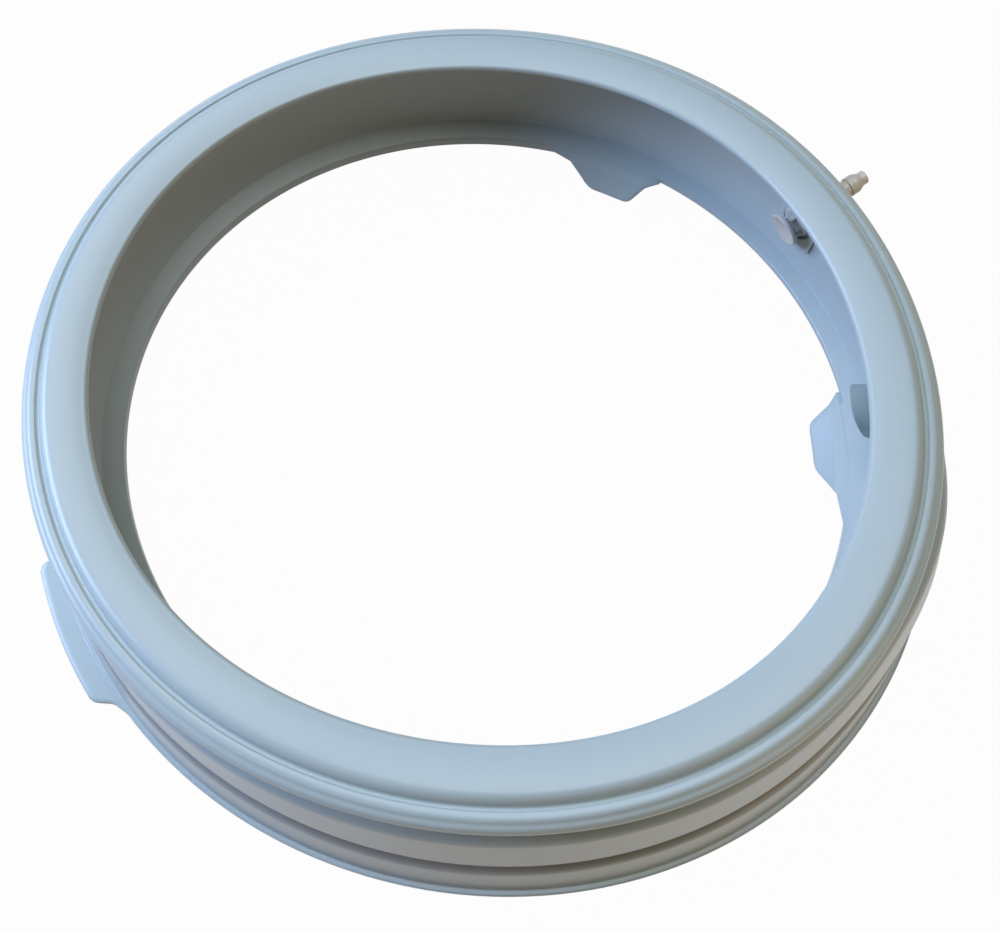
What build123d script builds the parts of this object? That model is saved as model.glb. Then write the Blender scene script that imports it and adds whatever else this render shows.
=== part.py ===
from build123d import *
import os
from math import cos, hypot, radians, sin

# Door seal of a front-loading washing machine, in millimetres and degrees.
# The ring's axis is Z. The seal lies on its rear rim at Z = 0, front face up.

# Rear rim, which is clamped on the tub's collar
RIM_RADIUS = 185.0
RIM_HEIGHT = 4.5
RIM_WIDTH = 6.0  # rim's edge to the bore that takes the collar
RIM_STEP = 2.2  # rim's edge to the foot of the lower band
TUB_DEPTH = 8.0
TUB_LEDGE = 3.6  # stop at the end of the collar

# Outer skirt: lower band, clamp groove, upper band
LOWER_BAND = 18.5
LOWER_TAPER = 4.6
CLAMP_WIDTH = 5.5
CLAMP_DEPTH = 3.7
CLAMP_STEP = 1.8  # the upper band starts this far inside the lower one
UPPER_BAND = 26.0
UPPER_TAPER = 5.8
SKIRT = 3.6  # rubber thickness of the skirt
WEB = 4.5  # rubber thickness above the channel behind the skirt

# Front end: slot for the cabinet's edge, bead, face and door lip
SLOT_WIDTH = 8.0
SLOT_DEPTH = 7.2
BEAD = 5.0  # radius of the bead's section
BEAD_REACH = 5.2  # slot's floor to the bead's outside
CROWN_RISE = 7.7  # bead's centre to the crown of the face
CROWN_INSET = 13.9  # door lip's edge to the crown
FACE_WIDTH = 17.5  # inner wall to the door lip's edge
DOOR_LIP = 3.2  # thickness of the door lip's edge
DOOR_LIP_DIP = 3.5  # crown to the middle of that edge
DOOR_LIP_ROOT = 2.4  # the lip's underside meets the wall this far below the bead

# Inner wall and the rear lip round the drum's mouth
WALL = 3.5
WALL_STRAIGHT = 11.5  # wall below the slot before it turns in
WALL_DRAFT = 4.0
REAR_LIP_HEIGHT = 25.2
REAR_LIP = 2.6
REAR_LIP_REACH = 7.9
REAR_LIP_FALL = 4.1
REAR_LIP_RIM = 4.3  # height of the turned-down edge
EDGE = 0.8  # rounding of the moulded edges

# Thin stretch of the rear lip in front of the nozzle, with a tab at each end
SPRAY_AZIMUTH = 28.8
SPRAY_HALF_ARC = 27.6
SPRAY_SETBACK = 1.5
RIM_RUN_OUT = 0.4  # degrees that the turned-down edge ends behind the tab's side
TAB_ARC = 15.2
TAB_LENGTH = 13.0
TAB_THICKNESS = 1.8
TAB_TILT = 35.0
TAB_INNER_LEAN = 1.9  # degrees that the tab narrows on the nozzle's side
TAB_OUTER_LEAN = 4.8
TAB_CORNER = 2.5

# Ear at the rear rim
EAR_START = -162.3
EAR_ARC = 19.0
EAR_TAIL_ARC = 5.5
EAR_REACH = 8.7
EAR_THICKNESS = 2.8
EAR_CORNER = 4.0

# Hose port through the wall
PORT_AZIMUTH = -4.0
PORT_DROP = 13.5  # slot to the port's axis
PORT_OUTER = 20.5
PORT_BORE = 13.0
PORT_REACH = 19.0  # inner wall to the port's longest point
PORT_CUT = 35.0  # slant of the port's mouth

# Spray nozzle and its seat in the wall
NOZZLE_AZIMUTH = 29.6
NOZZLE_DROP = 9.5  # slot to the point where the nozzle's axis meets the inner wall
NOZZLE_TILT = 15.0
SEAT_RADIUS = 8.0
SEAT_RISE = 1.0
SEAT_MARGIN = 0.5
NOZZLE_BRIDGE_ARC = 8.0  # rubber that closes the channel round the nozzle's neck
PORT_BRIDGE_ARC = 9.0
BRIDGE_MARGIN = 2.0
NECK_RADIUS = 4.2
NECK_FIT = 0.1
FLANGE_RADIUS = 6.8
FLANGE = 1.5
DEFLECTOR_RADIUS = 7.5
DEFLECTOR = 1.6
DEFLECTOR_DISH = 0.9
DEFLECTOR_RIM = 1.2
POST_LENGTH = 4.2
POST_COUNT = 3
POST_WIDTH = 2.4
POST_DEPTH = 1.8
POST_INSET = 1.0  # posts stand this far inside the flange's edge
COLLAR_RADIUS = 5.0
COLLAR_GAP = 1.1
COLLAR_LENGTH = 1.3
TUBE_RADIUS = 3.4
TUBE_LENGTH = 7.4
BARB_RADIUS = 4.1
BARB_LAND = 3.6
BARB_TAPER = 2.6
NOSE_RADIUS = 2.9
NOSE_LENGTH = 2.2
WATER_BORE = 4.0


def section_plane(azimuth):
    """Plane through the ring's axis: its x is the radius, its y is the height."""
    turn = radians(azimuth)
    return Plane(origin=(0, 0, 0), x_dir=(cos(turn), sin(turn), 0), z_dir=(sin(turn), -cos(turn), 0))


def polar(radius, azimuth):
    """Point in plan at a radius and an azimuth about the ring's axis."""
    return (radius * cos(radians(azimuth)), radius * sin(radians(azimuth)))


# Heights, stacked from the rear rim to the crown of the face
clamp_z = RIM_HEIGHT + LOWER_BAND
clamp_top = clamp_z + CLAMP_WIDTH
slot_z = clamp_top + UPPER_BAND
slot_top = slot_z + SLOT_WIDTH
bead_z = slot_top + BEAD
crown_z = bead_z + CROWN_RISE
web_z = slot_z - WEB
bend_z = slot_z - WALL_STRAIGHT
lip_edge_z = REAR_LIP_HEIGHT - REAR_LIP_FALL
door_lip_z = crown_z - DOOR_LIP_DIP

# Radii, from the rear rim inwards
tub_r = RIM_RADIUS - RIM_WIDTH
lower_foot_r = RIM_RADIUS - RIM_STEP
lower_top_r = lower_foot_r - LOWER_TAPER
clamp_r = lower_top_r - CLAMP_DEPTH
upper_foot_r = lower_top_r - CLAMP_STEP
upper_top_r = upper_foot_r - UPPER_TAPER
slot_r = upper_top_r - SLOT_DEPTH
bead_r = slot_r + BEAD_REACH - BEAD
wall_r = slot_r - WALL
opening_r = wall_r - FACE_WIDTH
crease_r = wall_r - WALL_DRAFT
lip_r = crease_r - REAR_LIP_REACH
leg_r = crease_r + WALL
skirt_r = clamp_r - SKIRT
web_r = upper_top_r + UPPER_TAPER * WEB / UPPER_BAND - SKIRT

# Rear lip: its top rises outwards at this slope, its underside runs parallel
lip_slope = REAR_LIP_FALL / REAR_LIP_REACH
lip_drop = REAR_LIP * hypot(1, lip_slope)
rim_back_r = lip_r + REAR_LIP
rim_back_z = lip_edge_z + REAR_LIP * lip_slope - lip_drop
leg_foot_z = REAR_LIP_HEIGHT + WALL * lip_slope - lip_drop
edge = min(EDGE, 0.4 * RIM_STEP, 0.4 * (CLAMP_DEPTH - CLAMP_STEP), 0.4 * REAR_LIP)

rear_lip_points = [
    (crease_r, REAR_LIP_HEIGHT),
    (lip_r, lip_edge_z),
    (lip_r, lip_edge_z - REAR_LIP_RIM),
    (rim_back_r, lip_edge_z - REAR_LIP_RIM),
    (rim_back_r, rim_back_z),
]
channel_points = [
    (leg_r, leg_foot_z),
    (slot_r, bend_z),
    (slot_r, web_z),
    (web_r, web_z),
    (skirt_r, clamp_top),
    (skirt_r, clamp_z),
    (tub_r - TUB_LEDGE, TUB_DEPTH),
    (tub_r, TUB_DEPTH),
    (tub_r, 0),
]
skirt_points = [
    (RIM_RADIUS, 0),
    (RIM_RADIUS, RIM_HEIGHT),
    (lower_foot_r, RIM_HEIGHT),
    (lower_top_r, clamp_z),
    (clamp_r, clamp_z),
    (clamp_r, clamp_top),
    (upper_foot_r, clamp_top),
    (upper_top_r, slot_z),
    (slot_r, slot_z),
    (slot_r, bead_z),
]
# Only the edges that show are rounded, in the order of the points above
roundings = [edge, edge, edge, 0]
roundings += [0] * len(channel_points)
roundings += [edge, edge, 0, edge, 0, 0, edge, edge, 0]

# Nozzle's axis: out through the wall, rising towards the front
nozzle_turn = radians(NOZZLE_AZIMUTH)
nozzle_rise = radians(NOZZLE_TILT)
nozzle_z = slot_z - NOZZLE_DROP
nozzle_origin = (*polar(wall_r, NOZZLE_AZIMUTH), nozzle_z)
nozzle_out = Vector(
    cos(nozzle_turn) * cos(nozzle_rise),
    sin(nozzle_turn) * cos(nozzle_rise),
    sin(nozzle_rise),
)
nozzle_across = Vector(-sin(nozzle_turn), cos(nozzle_turn), 0)
nozzle_plane = Plane(origin=nozzle_origin, x_dir=nozzle_across, z_dir=nozzle_out)
nozzle_section = Plane(origin=nozzle_origin, x_dir=nozzle_across, z_dir=nozzle_across.cross(nozzle_out))
skirt_at_nozzle = upper_top_r + UPPER_TAPER * (NOZZLE_DROP / UPPER_BAND)
grip_length = (skirt_at_nozzle - wall_r) / cos(nozzle_rise)
neck_hole = NECK_RADIUS + NECK_FIT

# Tab, made at the end of the thin stretch and mirrored to its other end
thin_half_arc = SPRAY_HALF_ARC + RIM_RUN_OUT
tab_azimuth = SPRAY_AZIMUTH + SPRAY_HALF_ARC
tab_end = tab_azimuth + TAB_ARC
tab_root = Vector(lip_r, lip_edge_z - REAR_LIP_RIM / 2)
tab_run = Vector(-cos(radians(TAB_TILT)), -sin(radians(TAB_TILT)))
tab_tip_r = lip_r + tab_run.X * TAB_LENGTH
tab_plan_start = tab_azimuth + TAB_INNER_LEAN
tab_plan_end = tab_end - TAB_OUTER_LEAN

with BuildPart() as tab:
    with BuildSketch(section_plane(tab_azimuth - TAB_ARC / 2)):
        with Locations(tab_root + tab_run * (TAB_LENGTH / 2)):
            Rectangle(TAB_LENGTH * 1.4, TAB_THICKNESS, rotation=TAB_TILT)
    revolve(axis=Axis.Z, revolution_arc=2 * TAB_ARC)
    with BuildSketch(Plane.XY) as tab_plan:
        with BuildLine():
            Polyline(
                polar(rim_back_r, tab_azimuth),
                polar(lip_r, tab_azimuth),
                polar(tab_tip_r, tab_plan_start),
                polar(tab_tip_r, tab_plan_end),
                polar(lip_r, tab_end),
                polar(rim_back_r, tab_end),
                close=True,
            )
        make_face()
        fillet(tab_plan.vertices().sort_by(lambda corner: hypot(corner.X, corner.Y))[:2], TAB_CORNER)
    extrude(amount=REAR_LIP_HEIGHT, mode=Mode.INTERSECT)

# Hose port, a tube whose mouth is cut on the slant so that it pours towards the drum
port_z = slot_z - PORT_DROP
port_mouth_r = wall_r - PORT_REACH
port_turn = radians(PORT_AZIMUTH)
port_plane = Plane(
    origin=(*polar(port_mouth_r, PORT_AZIMUTH), port_z),
    x_dir=(-sin(port_turn), cos(port_turn), 0),
    z_dir=(cos(port_turn), sin(port_turn), 0),
)
port_length = (skirt_r + web_r) / 2 - port_mouth_r + SKIRT / 2
mouth_plane = Plane(
    origin=(*polar(port_mouth_r, PORT_AZIMUTH), port_z + PORT_OUTER / 2),
    x_dir=(-sin(port_turn), cos(port_turn), 0),
    z_dir=(
        cos(port_turn) * cos(radians(PORT_CUT)),
        sin(port_turn) * cos(radians(PORT_CUT)),
        sin(radians(PORT_CUT)),
    ),
)

with BuildPart() as port:
    with BuildSketch(port_plane):
        Circle(PORT_OUTER / 2)
    extrude(amount=port_length)
    split(bisect_by=mouth_plane, keep=Keep.TOP)

# The section is drawn on a plain stretch, so that the seam stays clear of tabs, port and ear
with BuildPart() as seal_ring:
    with BuildSketch(section_plane(SPRAY_AZIMUTH + 120)):
        with BuildLine():
            shell = FilletPolyline(*rear_lip_points, *channel_points, *skirt_points, radius=roundings)
            neck = Line(shell @ 1, (bead_r - BEAD / 2, bead_z + BEAD * 0.6))
            shoulder = TangentArc(neck @ 1, (opening_r + CROWN_INSET, crown_z), tangent=(-0.3, 1))
            face = TangentArc(
                shoulder @ 1,
                (opening_r + DOOR_LIP / 2, door_lip_z + DOOR_LIP / 2),
                tangent=shoulder % 1,
            )
            lip_round = ThreePointArc(
                face @ 1,
                (opening_r, door_lip_z),
                (opening_r + DOOR_LIP / 2, door_lip_z - DOOR_LIP / 2),
            )
            under = TangentArc(lip_round @ 1, (wall_r, slot_top - DOOR_LIP_ROOT), tangent=(1, 0.25))
            straight = Line(under @ 1, (wall_r, bend_z))
            TangentArc(straight @ 1, shell @ 0, tangent=(0, -1))
        make_face()
        with Locations((bead_r, bead_z)):
            Circle(BEAD)
    revolve(axis=Axis.Z)
    # Thin stretch of the rear lip: no turned-down edge, so that the spray passes
    with BuildSketch(section_plane(SPRAY_AZIMUTH - thin_half_arc)):
        with BuildLine():
            Polyline(
                (lip_r + SPRAY_SETBACK, REAR_LIP_HEIGHT),
                (lip_r + SPRAY_SETBACK, lip_edge_z + SPRAY_SETBACK * lip_slope - lip_drop),
                (rim_back_r + EDGE, rim_back_z + EDGE * lip_slope),
                (rim_back_r + EDGE, 0),
                (tab_tip_r, 0),
                (tab_tip_r, REAR_LIP_HEIGHT),
                close=True,
            )
        make_face()
    revolve(axis=Axis.Z, revolution_arc=2 * thin_half_arc, mode=Mode.SUBTRACT)
    add(tab.part)
    mirror(tab.part, about=section_plane(SPRAY_AZIMUTH))
    # Ear at the rim, with a long run-out at one end
    with BuildSketch(Plane.XY) as ear_plan:
        with BuildLine():
            ear_edge = CenterArc((0, 0), RIM_RADIUS + EAR_REACH, EAR_START, EAR_ARC)
            ear_root = CenterArc((0, 0), RIM_RADIUS - RIM_WIDTH / 2, EAR_START, EAR_ARC)
            Polyline(
                ear_edge @ 1,
                polar(RIM_RADIUS - EDGE, EAR_START + EAR_ARC + EAR_TAIL_ARC),
                ear_root @ 1,
            )
            Line(ear_root @ 0, ear_edge @ 0)
        make_face()
        fillet(ear_plan.vertices().sort_by(lambda corner: hypot(corner.X, corner.Y))[-2:], EAR_CORNER)
    extrude(amount=EAR_THICKNESS)
    # Rubber that closes the channel round the nozzle's neck and round the hose port
    for azimuth, arc, foot_z in (
        (NOZZLE_AZIMUTH, NOZZLE_BRIDGE_ARC, nozzle_z - SEAT_RADIUS - BRIDGE_MARGIN),
        (PORT_AZIMUTH, PORT_BRIDGE_ARC, port_z - PORT_OUTER / 2 - BRIDGE_MARGIN),
    ):
        with BuildSketch(section_plane(azimuth - arc / 2)):
            with BuildLine():
                Polyline(
                    (slot_r - WALL / 2, web_z + WEB / 2),
                    (leg_r - WALL / 2, foot_z),
                    (skirt_r + SKIRT / 2, foot_z),
                    (web_r + SKIRT / 2, web_z + WEB / 2),
                    close=True,
                )
            make_face()
        revolve(axis=Axis.Z, revolution_arc=arc)
    # Flat seat for the nozzle's flange, cut into the wall where the wall turns in
    with BuildSketch(nozzle_plane.offset(-SEAT_RISE)):
        Circle(SEAT_RADIUS)
    extrude(amount=SEAT_RISE + WALL / 2)
    with BuildSketch(nozzle_plane.offset(-SEAT_RISE)):
        Circle(SEAT_RADIUS + SEAT_MARGIN)
    extrude(amount=-2 * SEAT_RADIUS, mode=Mode.SUBTRACT)
    add(port.part)
    with BuildSketch(nozzle_plane.offset(-2 * SEAT_RISE)):
        Circle(neck_hole)
    extrude(amount=2 * SEAT_RISE + grip_length + NECK_RADIUS, mode=Mode.SUBTRACT)
    with BuildSketch(port_plane.offset(-PORT_BORE)):
        Circle(PORT_BORE / 2)
    extrude(amount=RIM_RADIUS - port_mouth_r + PORT_BORE, mode=Mode.SUBTRACT)

# Nozzle's outline along its axis, from the flange on the seat to the nose
flange_face = -SEAT_RISE - FLANGE
collar_s = grip_length + COLLAR_GAP
tube_s = collar_s + COLLAR_LENGTH
barb_s = tube_s + TUBE_LENGTH
barb_end = barb_s + BARB_LAND
nose_s = barb_end + BARB_TAPER
nose_end = nose_s + NOSE_LENGTH
deflector_s = flange_face - POST_LENGTH

with BuildPart() as spray_nozzle:
    with BuildSketch(nozzle_section):
        with BuildLine():
            Polyline(
                (WATER_BORE / 2, flange_face),
                (FLANGE_RADIUS, flange_face),
                (FLANGE_RADIUS, -SEAT_RISE),
                (NECK_RADIUS, -SEAT_RISE),
                (NECK_RADIUS, collar_s),
                (COLLAR_RADIUS, collar_s),
                (TUBE_RADIUS, tube_s),
                (TUBE_RADIUS, barb_s),
                (BARB_RADIUS, barb_s),
                (BARB_RADIUS, barb_end),
                (NOSE_RADIUS, nose_s),
                (NOSE_RADIUS, nose_end),
                (WATER_BORE / 2, nose_end),
                close=True,
            )
        make_face()
    revolve(axis=Axis(nozzle_origin, nozzle_out))
    # Dished deflector with a raised rim on its inner face
    with BuildSketch(nozzle_section):
        with BuildLine():
            back = Line((0, deflector_s), (DEFLECTOR_RADIUS, deflector_s))
            rim = Polyline(
                back @ 1,
                (DEFLECTOR_RADIUS, deflector_s - DEFLECTOR),
                (DEFLECTOR_RADIUS - DEFLECTOR_RIM, deflector_s - DEFLECTOR),
            )
            dish = TangentArc((0, deflector_s - DEFLECTOR + DEFLECTOR_DISH), rim @ 1, tangent=(1, 0))
            Line(dish @ 0, back @ 0)
        make_face()
    revolve(axis=Axis(nozzle_origin, nozzle_out))
    with BuildSketch(nozzle_plane.offset(deflector_s)):
        with PolarLocations(FLANGE_RADIUS - POST_INSET - POST_DEPTH / 2, POST_COUNT, start_angle=90):
            Rectangle(POST_DEPTH, POST_WIDTH)
    extrude(amount=POST_LENGTH)

os.makedirs("parts", exist_ok=True)
seal_ring.part.label = "seal_ring"
spray_nozzle.part.label = "spray_nozzle"
export_step(seal_ring.part, "parts/seal_ring.step")
export_step(spray_nozzle.part, "parts/spray_nozzle.step")
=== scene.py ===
"""Washing machine door seal: a moulded rubber ring and the spray nozzle in its wall."""
import logging
from dataclasses import dataclass
from enum import Enum

import bmesh
import bpy
import numpy as np
from mathutils import Matrix


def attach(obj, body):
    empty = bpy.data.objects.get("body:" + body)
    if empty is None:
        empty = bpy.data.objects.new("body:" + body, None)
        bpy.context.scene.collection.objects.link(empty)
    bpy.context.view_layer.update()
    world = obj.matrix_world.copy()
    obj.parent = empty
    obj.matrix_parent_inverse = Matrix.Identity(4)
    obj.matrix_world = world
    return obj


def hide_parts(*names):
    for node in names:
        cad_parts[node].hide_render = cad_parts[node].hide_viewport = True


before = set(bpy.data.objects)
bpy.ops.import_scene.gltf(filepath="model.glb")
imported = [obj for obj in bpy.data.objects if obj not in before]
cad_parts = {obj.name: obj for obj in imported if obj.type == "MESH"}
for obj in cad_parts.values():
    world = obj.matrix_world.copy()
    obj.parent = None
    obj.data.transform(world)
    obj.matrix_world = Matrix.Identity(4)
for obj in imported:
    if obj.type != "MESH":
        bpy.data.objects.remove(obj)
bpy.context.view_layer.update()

LOG = logging.getLogger("door_seal")
MM = 0.001
BODY = "root"
IMAGE_WIDTH, IMAGE_HEIGHT = 1000, 932


class Slot(Enum):
    """Material slots of the record."""

    RUBBER = "seal_rubber"
    PLASTIC = "nozzle_plastic"


class Blend(Enum):
    """Ways in which one closed shell is joined to another."""

    ADD = "UNION"
    CUT = "DIFFERENCE"


@dataclass(frozen=True)
class Shell:
    """Closed surface: vertex places in millimetres and faces as vertex numbers."""

    places: np.ndarray
    faces: list[list[int]]


def unit(vector: np.ndarray) -> np.ndarray:
    """Vectors of length one along the last axis."""
    return vector / np.linalg.norm(vector, axis=-1, keepdims=True)


def turned(vector: np.ndarray, axis: np.ndarray, angle: float) -> np.ndarray:
    """A vector turned about an axis by the right-hand rule, with Rodrigues' formula.

    Args:
        vector: Vector to turn.
        axis: Axis of length one.
        angle: Angle in radians.

    Returns:
        The turned vector.
    """
    along = axis * (axis @ vector) * (1 - np.cos(angle))
    return vector * np.cos(angle) + np.cross(axis, vector) * np.sin(angle) + along


def tangent_arc(start: np.ndarray, heading: np.ndarray, end: np.ndarray, count: int) -> np.ndarray:
    """Arc that leaves one point along a heading and ends at another.

    With a the angle from the heading to the chord, the arc's point at the fraction t lies in the direction
    heading + t * a, at the chord's length times sin(t * a) / sin(a).

    Args:
        start: First point, radius and height.
        heading: Direction at the first point.
        end: Last point.
        count: Number of points, both ends included.

    Returns:
        Points along the arc, count by 2.
    """
    chord = end - start
    course = np.arctan2(heading[1], heading[0])
    lean = np.angle(np.exp(1j * (np.arctan2(chord[1], chord[0]) - course)))
    part = np.linspace(0, 1, count)
    reach = np.hypot(*chord) * np.sin(lean * part) / np.sin(lean)
    angle = course + lean * part
    return start + np.stack([np.cos(angle), np.sin(angle)], axis=1) * reach[:, None]


def rounded(points: np.ndarray, radii: np.ndarray, count: int = 4, guard: float = 0.2) -> np.ndarray:
    """Open outline with an arc at each inner corner.

    An arc starts r * tan(turn / 2) before its corner. Its point at the angle a lies r * sin(a) along the
    incoming side and r * (1 - cos(a)) across it. One guard point on each side keeps the flats' shading flat.

    Args:
        points: Corners of the outline, n by 2, ends included.
        radii: Radius at each inner corner, n - 2.
        count: Points on each arc.
        guard: Distance of a guard point from its arc.

    Returns:
        Points of the rounded outline.
    """
    sides = unit(np.diff(points, axis=0))
    before, after = sides[:-1], sides[1:]
    cross = before[:, 0] * after[:, 1] - before[:, 1] * after[:, 0]
    turn = np.arctan2(cross, np.sum(before * after, axis=1))
    normal = np.stack([-before[:, 1], before[:, 0]], axis=1) * np.sign(turn)[:, None]
    back = radii * np.tan(np.abs(turn) / 2)
    start = points[1:-1] - before * back[:, None]
    angle = np.abs(turn)[:, None] * np.linspace(0, 1, count)
    run = (radii[:, None] * np.sin(angle))[..., None] * before[:, None]
    step = (radii[:, None] * (1 - np.cos(angle)))[..., None] * normal[:, None]
    arcs = start[:, None] + run + step
    lead = arcs[:, :1] - guard * before[:, None]
    trail = arcs[:, -1:] + guard * after[:, None]
    inner = np.concatenate([lead, arcs, trail], axis=1).reshape(-1, 2)
    return np.concatenate([points[:1], inner, points[-1:]])


def grid_shell(places: np.ndarray, closed_rows: bool) -> Shell:
    """Closed surface over a grid of points.

    Each cell of the grid is one quad. Columns run round a loop. Rows either run round too, or end in flat
    caps that are made of one many-sided face each.

    Args:
        places: Points, rows by columns by 3.
        closed_rows: Whether the last row joins the first one.

    Returns:
        The closed shell.
    """
    rows, columns = places.shape[:2]
    number = np.arange(rows * columns).reshape(rows, columns)
    down = np.roll(number, -1, axis=0) if closed_rows else number[1:]
    top = number if closed_rows else number[:-1]
    corners = [top, np.roll(top, -1, axis=1), np.roll(down, -1, axis=1), down]
    faces = np.stack(corners, axis=-1).reshape(-1, 4).tolist()
    if not closed_rows:
        faces += [number[0, ::-1].tolist(), number[-1].tolist()]
    return Shell(places.reshape(-1, 3), faces)


def mesh_piece(name: str, shell: Shell) -> bpy.types.Object:
    """Object in the row frame made from a shell, with its faces turned outwards.

    Args:
        name: Name of the piece.
        shell: Shell in millimetres.

    Returns:
        The new object, linked to the scene.
    """
    mesh = bpy.data.meshes.new(name)
    mesh.from_pydata((shell.places * MM).tolist(), [], shell.faces)
    work = bmesh.new()
    work.from_mesh(mesh)
    bmesh.ops.recalc_face_normals(work, faces=work.faces)
    work.to_mesh(mesh)
    work.free()
    piece = bpy.data.objects.new(name, mesh)
    bpy.context.scene.collection.objects.link(piece)
    return piece


def join_shell(piece: bpy.types.Object, tool: bpy.types.Object, blend: Blend) -> None:
    """Adds a closed shell to a piece or cuts it away, and deletes the tool.

    Args:
        piece: Piece that keeps its name and gets the new mesh.
        tool: Shell that is added or cut away.
        blend: Which of the two is done.
    """
    step = piece.modifiers.new("join", "BOOLEAN")
    step.operation = blend.value
    step.solver = "MANIFOLD"
    step.object = tool
    bpy.context.view_layer.update()
    shown = piece.evaluated_get(bpy.context.evaluated_depsgraph_get())
    result = bpy.data.meshes.new_from_object(shown)
    piece.modifiers.remove(step)
    old, piece.data = piece.data, result
    result.name = piece.name
    bpy.data.meshes.remove(old)
    bpy.data.objects.remove(tool)


def smooth(piece: bpy.types.Object, sharp_degrees: float) -> None:
    """Shades a piece smoothly, apart from edges that are sharper than an angle.

    Args:
        piece: Piece to shade.
        sharp_degrees: Angle between faces from which an edge stays sharp.
    """
    mesh = piece.data
    mesh.polygons.foreach_set("use_smooth", np.ones(len(mesh.polygons), dtype=bool))
    mesh.set_sharp_from_angle(angle=np.radians(sharp_degrees))


def ease(value: np.ndarray, low: float, high: float) -> np.ndarray:
    """0 below low, 1 above high, and 3 t^2 - 2 t^3 between them."""
    part = np.clip((value - low) / (high - low), 0, 1)
    return part * part * (3 - 2 * part)


@dataclass(frozen=True)
class Lie:
    """How the soft ring lies: out of round, with its front leaning over and its skirt bulging on one side.

    With a the azimuth less the turn, a point moves outwards by the sum of cosine and sine terms in 2 a, 3 a
    and 4 a. The terms pass from the rear's to the front's with the height, and so does the lean. The bulge
    is a bell curve over the azimuth that holds for the skirt alone. The draw keeps the result inside the
    ring's own box.
    """

    turn_degrees: float = 1.12
    rear: tuple[float, ...] = (1.17, -3.36, -0.24, -0.24, -0.3)
    front: tuple[float, ...] = (1.17, -3.58, -0.64, 0.12, -0.9)
    lean: tuple[float, float] = (-2.43, -0.40)
    lean_heights: tuple[float, float] = (28.0, 62.0)
    bulge: float = 4.8
    bulge_azimuth: float = -20.0
    bulge_spread: float = 15.0
    skirt_foot: tuple[float, float] = (8.0, 30.0)
    skirt_top: tuple[float, float] = (55.0, 59.0)
    skirt_radii: tuple[float, float] = (165.0, 169.0)
    draw: float = 0.9911

    def place(self, points: np.ndarray) -> np.ndarray:
        """Points of the round ring as they lie.

        Args:
            points: Places in millimetres, any shape whose last axis is x, y and z.

        Returns:
            The moved places.
        """
        radius, height = np.hypot(points[..., 0], points[..., 1]), points[..., 2]
        azimuth = np.arctan2(points[..., 1], points[..., 0])
        angle = azimuth - np.radians(self.turn_degrees)
        double, triple = 2 * angle, 3 * angle
        waves = [np.cos(double), np.sin(double), np.cos(triple), np.sin(triple), np.cos(2 * double)]
        waves = np.stack(waves, axis=-1)
        share = ease(height, *self.lean_heights)
        swell = (1 - share) * (waves @ np.array(self.rear)) + share * (waves @ np.array(self.front))
        off = (np.degrees(angle) - self.bulge_azimuth) / self.bulge_spread
        skirt = ease(height, *self.skirt_foot) * (1 - ease(height, *self.skirt_top))
        skirt = skirt * ease(radius, *self.skirt_radii)
        swell = swell + self.bulge * np.exp(-(off**2)) * skirt
        turn = np.radians(self.turn_degrees)
        lean = np.array([[np.cos(turn), -np.sin(turn)], [np.sin(turn), np.cos(turn)]]) @ np.array(self.lean)
        plan = (radius + swell)[..., None] * np.stack([np.cos(azimuth), np.sin(azimuth)], axis=-1)
        plan = self.draw * (plan + share[..., None] * lean)
        return np.concatenate([plan, height[..., None]], axis=-1)


def polar_points(radius: np.ndarray, azimuth: np.ndarray, height: np.ndarray) -> np.ndarray:
    """Points from radius, azimuth in degrees and height, which may be arrays of any matching shapes."""
    radius, azimuth, height = np.broadcast_arrays(radius, np.radians(azimuth), height)
    return np.stack([radius * np.cos(azimuth), radius * np.sin(azimuth), height], axis=-1)


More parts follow.
